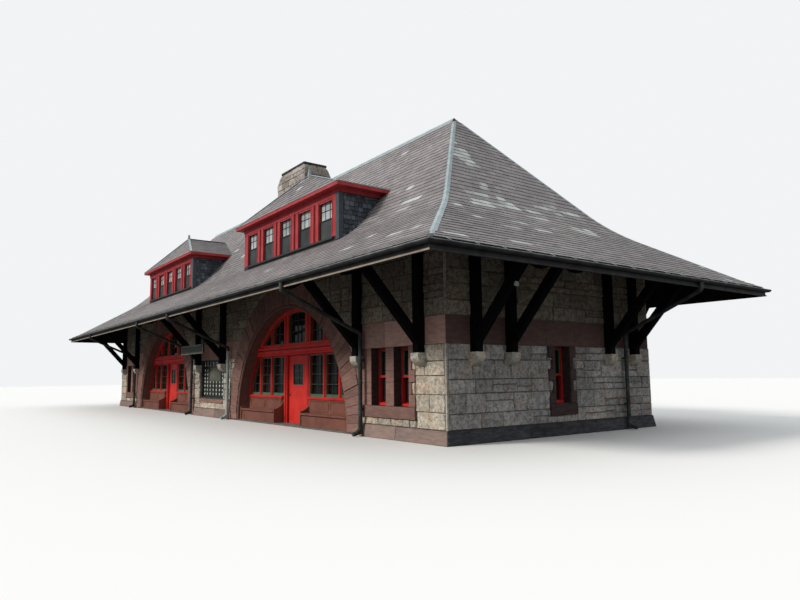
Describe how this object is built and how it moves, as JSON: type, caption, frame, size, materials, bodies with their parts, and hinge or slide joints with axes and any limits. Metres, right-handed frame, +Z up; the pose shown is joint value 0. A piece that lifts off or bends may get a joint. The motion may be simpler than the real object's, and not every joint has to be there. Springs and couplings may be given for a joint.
{
  "type": "railway station building",
  "caption": "Long single-storey stone railway station with arched recesses, timber-bracketed eaves and a flared hipped roof with dormers.",
  "frame": {"origin": "centre of the bottom of the bounding box, on the platform under the middle of the building", "axes": "+X along the building towards the end wall that faces the viewer, -Y out of the track-side front, +Z up"},
  "size_m": [34.876, 13.276, 11.1698],
  "materials": {
    "granite": "rock-faced random ashlar",
    "brownstone": "dressed smooth",
    "plinth_stone": "dressed, battered",
    "dark_plinth_stone": "dressed, weathered dark",
    "chimney_stone": "rough rubble",
    "cap_stone": "weathered",
    "slate": "riven slates",
    "cheek_slate": "dark hung slates",
    "floor_stone": "honed slab",
    "floor_boards": "bare boards",
    "red_paint": "satin red paint",
    "door_red": "bright red paint",
    "bench_brown": "brown paint",
    "dark_timber": "near-black paint",
    "copper": "pale blue-green patina",
    "gutter_metal": "dark grey, weathered",
    "glass": "old window glass"
  },
  "bodies": {
    "building": {"plinth_long_sides": "plinth_stone", "plinth_ends": "dark_plinth_stone", "front_wall_piers": "granite", "front_arch_walls": "granite", "back_wall_piers": "granite", "back_arch_walls": "granite", "right_end_wall": "granite", "left_end_wall": "granite", "band_long_sides": "brownstone", "band_ends": "brownstone", "front_arch_rings": "brownstone", "back_arch_rings": "brownstone", "window_surrounds": "brownstone", "window_frames": "red_paint", "window_glass": "glass", "upper_screens": "red_paint", "lower_screens": "red_paint", "screen_glass": "glass", "back_doors": "door_red", "back_door_glass": "glass", "bench_seats": "bench_brown", "bench_backs": "bench_brown", "bench_ends": "bench_brown", "ground_floor": "floor_stone", "attic_floor": "floor_boards", "bracket_posts": "dark_timber", "bracket_struts": "dark_timber", "bracket_arms": "dark_timber", "corbels": "granite", "front_roof_slope": "slate", "back_roof_slope": "slate", "right_roof_slope": "slate", "left_roof_slope": "slate", "hip_flashings": "copper", "ridge_flashing": "copper", "long_gutters": "gutter_metal", "end_gutters": "gutter_metal", "dormer_fronts": "red_paint", "dormer_cheeks": "cheek_slate", "dormer_cornices": "red_paint", "dormer_roofs": "slate", "dormer_glass": "glass", "chimney": "chimney_stone", "chimney_cap": "cap_stone", "downpipes": "gutter_metal"},
    "right_door": {"front_right_door": "door_red", "front_right_door_glass": "glass"},
    "left_door": {"front_left_door": "door_red", "front_left_door_glass": "glass"}
  },
  "joints": [
    {"name": "right_door_hinge", "type": "hinge", "parent": "building", "child": "right_door", "pos_m": [7.3125, -3.48, 1.19], "axis": [0, 0, -1], "range_deg": [0, 90]},
    {"name": "left_door_hinge", "type": "hinge", "parent": "building", "child": "left_door", "pos_m": [-7.3125, -3.48, 1.19], "axis": [0, 0, 1], "range_deg": [0, 90]}
  ]
}
